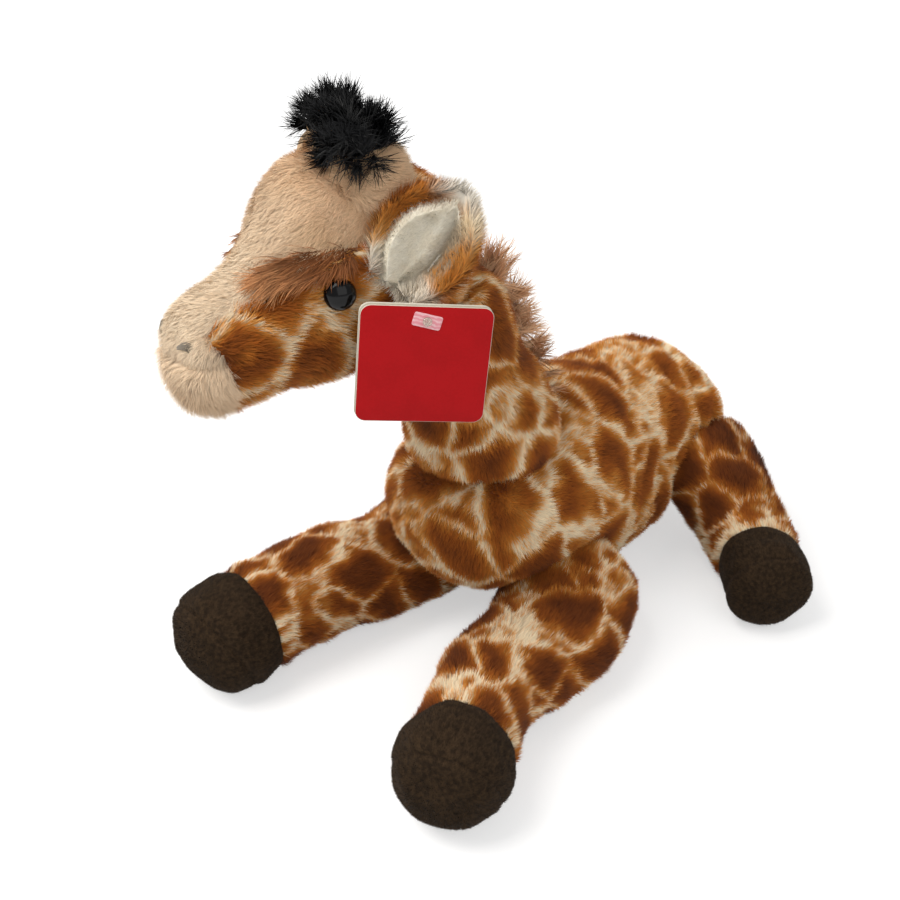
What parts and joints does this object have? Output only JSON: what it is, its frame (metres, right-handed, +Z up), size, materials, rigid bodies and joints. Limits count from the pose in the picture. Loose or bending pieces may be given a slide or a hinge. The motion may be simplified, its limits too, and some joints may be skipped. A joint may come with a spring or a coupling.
{
  "type": "plush giraffe",
  "caption": "Lying plush giraffe with sewn legs, a turned head, cupped ears, two tufted horns, felt hooves and a red hang tag on its left ear.",
  "frame": {"origin": "middle of the flat belly patch, on the surface that the toy lies on", "axes": "+Z up, -Y the way that the trunk faces, +X the toy's left"},
  "size_m": [0.2698, 0.3393, 0.2775],
  "materials": {
    "patch_plush": "soft pile, rust patches between cream lines",
    "face_plush": "short tan pile",
    "brow_pile": "long red-brown pile",
    "eye_plastic": "polished black",
    "nostril_thread": "satin stitch",
    "tuft_pile": "long black pile",
    "lining_plush": "short cream pile",
    "mane_pile": "long brown pile",
    "hoof_felt": "brushed short pile",
    "sole_felt": "brushed short pile",
    "pale_card": "uncoated card",
    "red_card": "coated card",
    "pink_paper": "matte paper",
    "clear_plastic": "frosted, moulded"
  },
  "bodies": {
    "trunk": {"trunk": "patch_plush"},
    "neck": {"neck": "patch_plush", "mane": "mane_pile"},
    "head": {"head": "patch_plush", "face": "face_plush", "eye_left": "eye_plastic", "eye_right": "eye_plastic", "brow_left": "brow_pile", "brow_right": "brow_pile", "nostril_left": "nostril_thread", "nostril_right": "nostril_thread", "horn_left": "face_plush", "horn_right": "face_plush", "horn_tuft_left": "tuft_pile", "horn_tuft_right": "tuft_pile"},
    "ear_left": {"ear_left": "patch_plush", "ear_lining_left": "lining_plush", "tag_fastener": "clear_plastic"},
    "ear_right": {"ear_right": "patch_plush", "ear_lining_right": "lining_plush"},
    "tag": {"tag_back": "pale_card", "tag_front": "red_card", "tag_sticker": "pink_paper"},
    "leg_front_left": {"leg_front_left": "patch_plush", "hoof_front_left": "hoof_felt", "sole_front_left": "sole_felt"},
    "leg_front_right": {"leg_front_right": "patch_plush", "hoof_front_right": "hoof_felt", "sole_front_right": "sole_felt"},
    "leg_hind_left": {"leg_hind_left": "patch_plush", "hoof_hind_left": "hoof_felt", "sole_hind_left": "sole_felt"},
    "leg_hind_right": {"leg_hind_right": "patch_plush", "hoof_hind_right": "hoof_felt", "sole_hind_right": "sole_felt"},
    "tail": {"tail": "patch_plush", "tail_tuft": "mane_pile"}
  },
  "joints": [
    {"name": "neck_nod", "type": "hinge", "parent": "trunk", "child": "neck", "pos_m": [0, -0.053, 0.0946], "axis": [1, 0, 0], "range_deg": [-12, 12], "stiffness_Nm_per_rad": 2},
    {"name": "head_nod", "type": "hinge", "parent": "neck", "child": "head", "pos_m": [0, -0.09474, 0.1906], "axis": [0.9781, -0.2079, 0], "range_deg": [-18, 14], "stiffness_Nm_per_rad": 1.2},
    {"name": "ear_left_fold", "type": "hinge", "parent": "head", "child": "ear_left", "pos_m": [0.02774, -0.13545, 0.2166], "axis": [0.7356, 0.3754, -0.5639], "range_deg": [0, 22], "stiffness_Nm_per_rad": 0.06},
    {"name": "ear_right_fold", "type": "hinge", "parent": "head", "child": "ear_right", "pos_m": [-0.0419, -0.12065, 0.2166], "axis": [-0.1379, 0.1705, -0.9757], "range_deg": [0, 22], "stiffness_Nm_per_rad": 0.06},
    {"name": "leg_front_left_spread", "type": "hinge", "parent": "trunk", "child": "leg_front_left", "pos_m": [0.04182, -0.02968, 0.03025], "axis": [0, 0, 1], "range_deg": [-14, 16], "stiffness_Nm_per_rad": 0.5},
    {"name": "leg_front_right_spread", "type": "hinge", "parent": "trunk", "child": "leg_front_right", "pos_m": [-0.0357, -0.03816, 0.03025], "axis": [0, 0, 1], "range_deg": [-16, 14], "stiffness_Nm_per_rad": 0.5},
    {"name": "leg_hind_left_spread", "type": "hinge", "parent": "trunk", "child": "leg_hind_left", "pos_m": [0.02907, 0.08056, 0.0616], "axis": [0, 0, 1], "range_deg": [-14, 12], "stiffness_Nm_per_rad": 0.4},
    {"name": "leg_hind_right_spread", "type": "hinge", "parent": "trunk", "child": "leg_hind_right", "pos_m": [-0.02907, 0.08056, 0.0616], "axis": [0, 0, 1], "range_deg": [-12, 14], "stiffness_Nm_per_rad": 0.4},
    {"name": "tail_swing", "type": "hinge", "parent": "trunk", "child": "tail", "pos_m": [0, 0.10335, 0.077], "axis": [0, 1, 0], "range_deg": [-35, 35]},
    {"name": "tag_swing", "type": "hinge", "parent": "ear_left", "child": "tag", "pos_m": [0.04395, -0.13805, 0.20443], "axis": [0.788, -0.6157, 0], "range_deg": [-12, 12]}
  ]
}
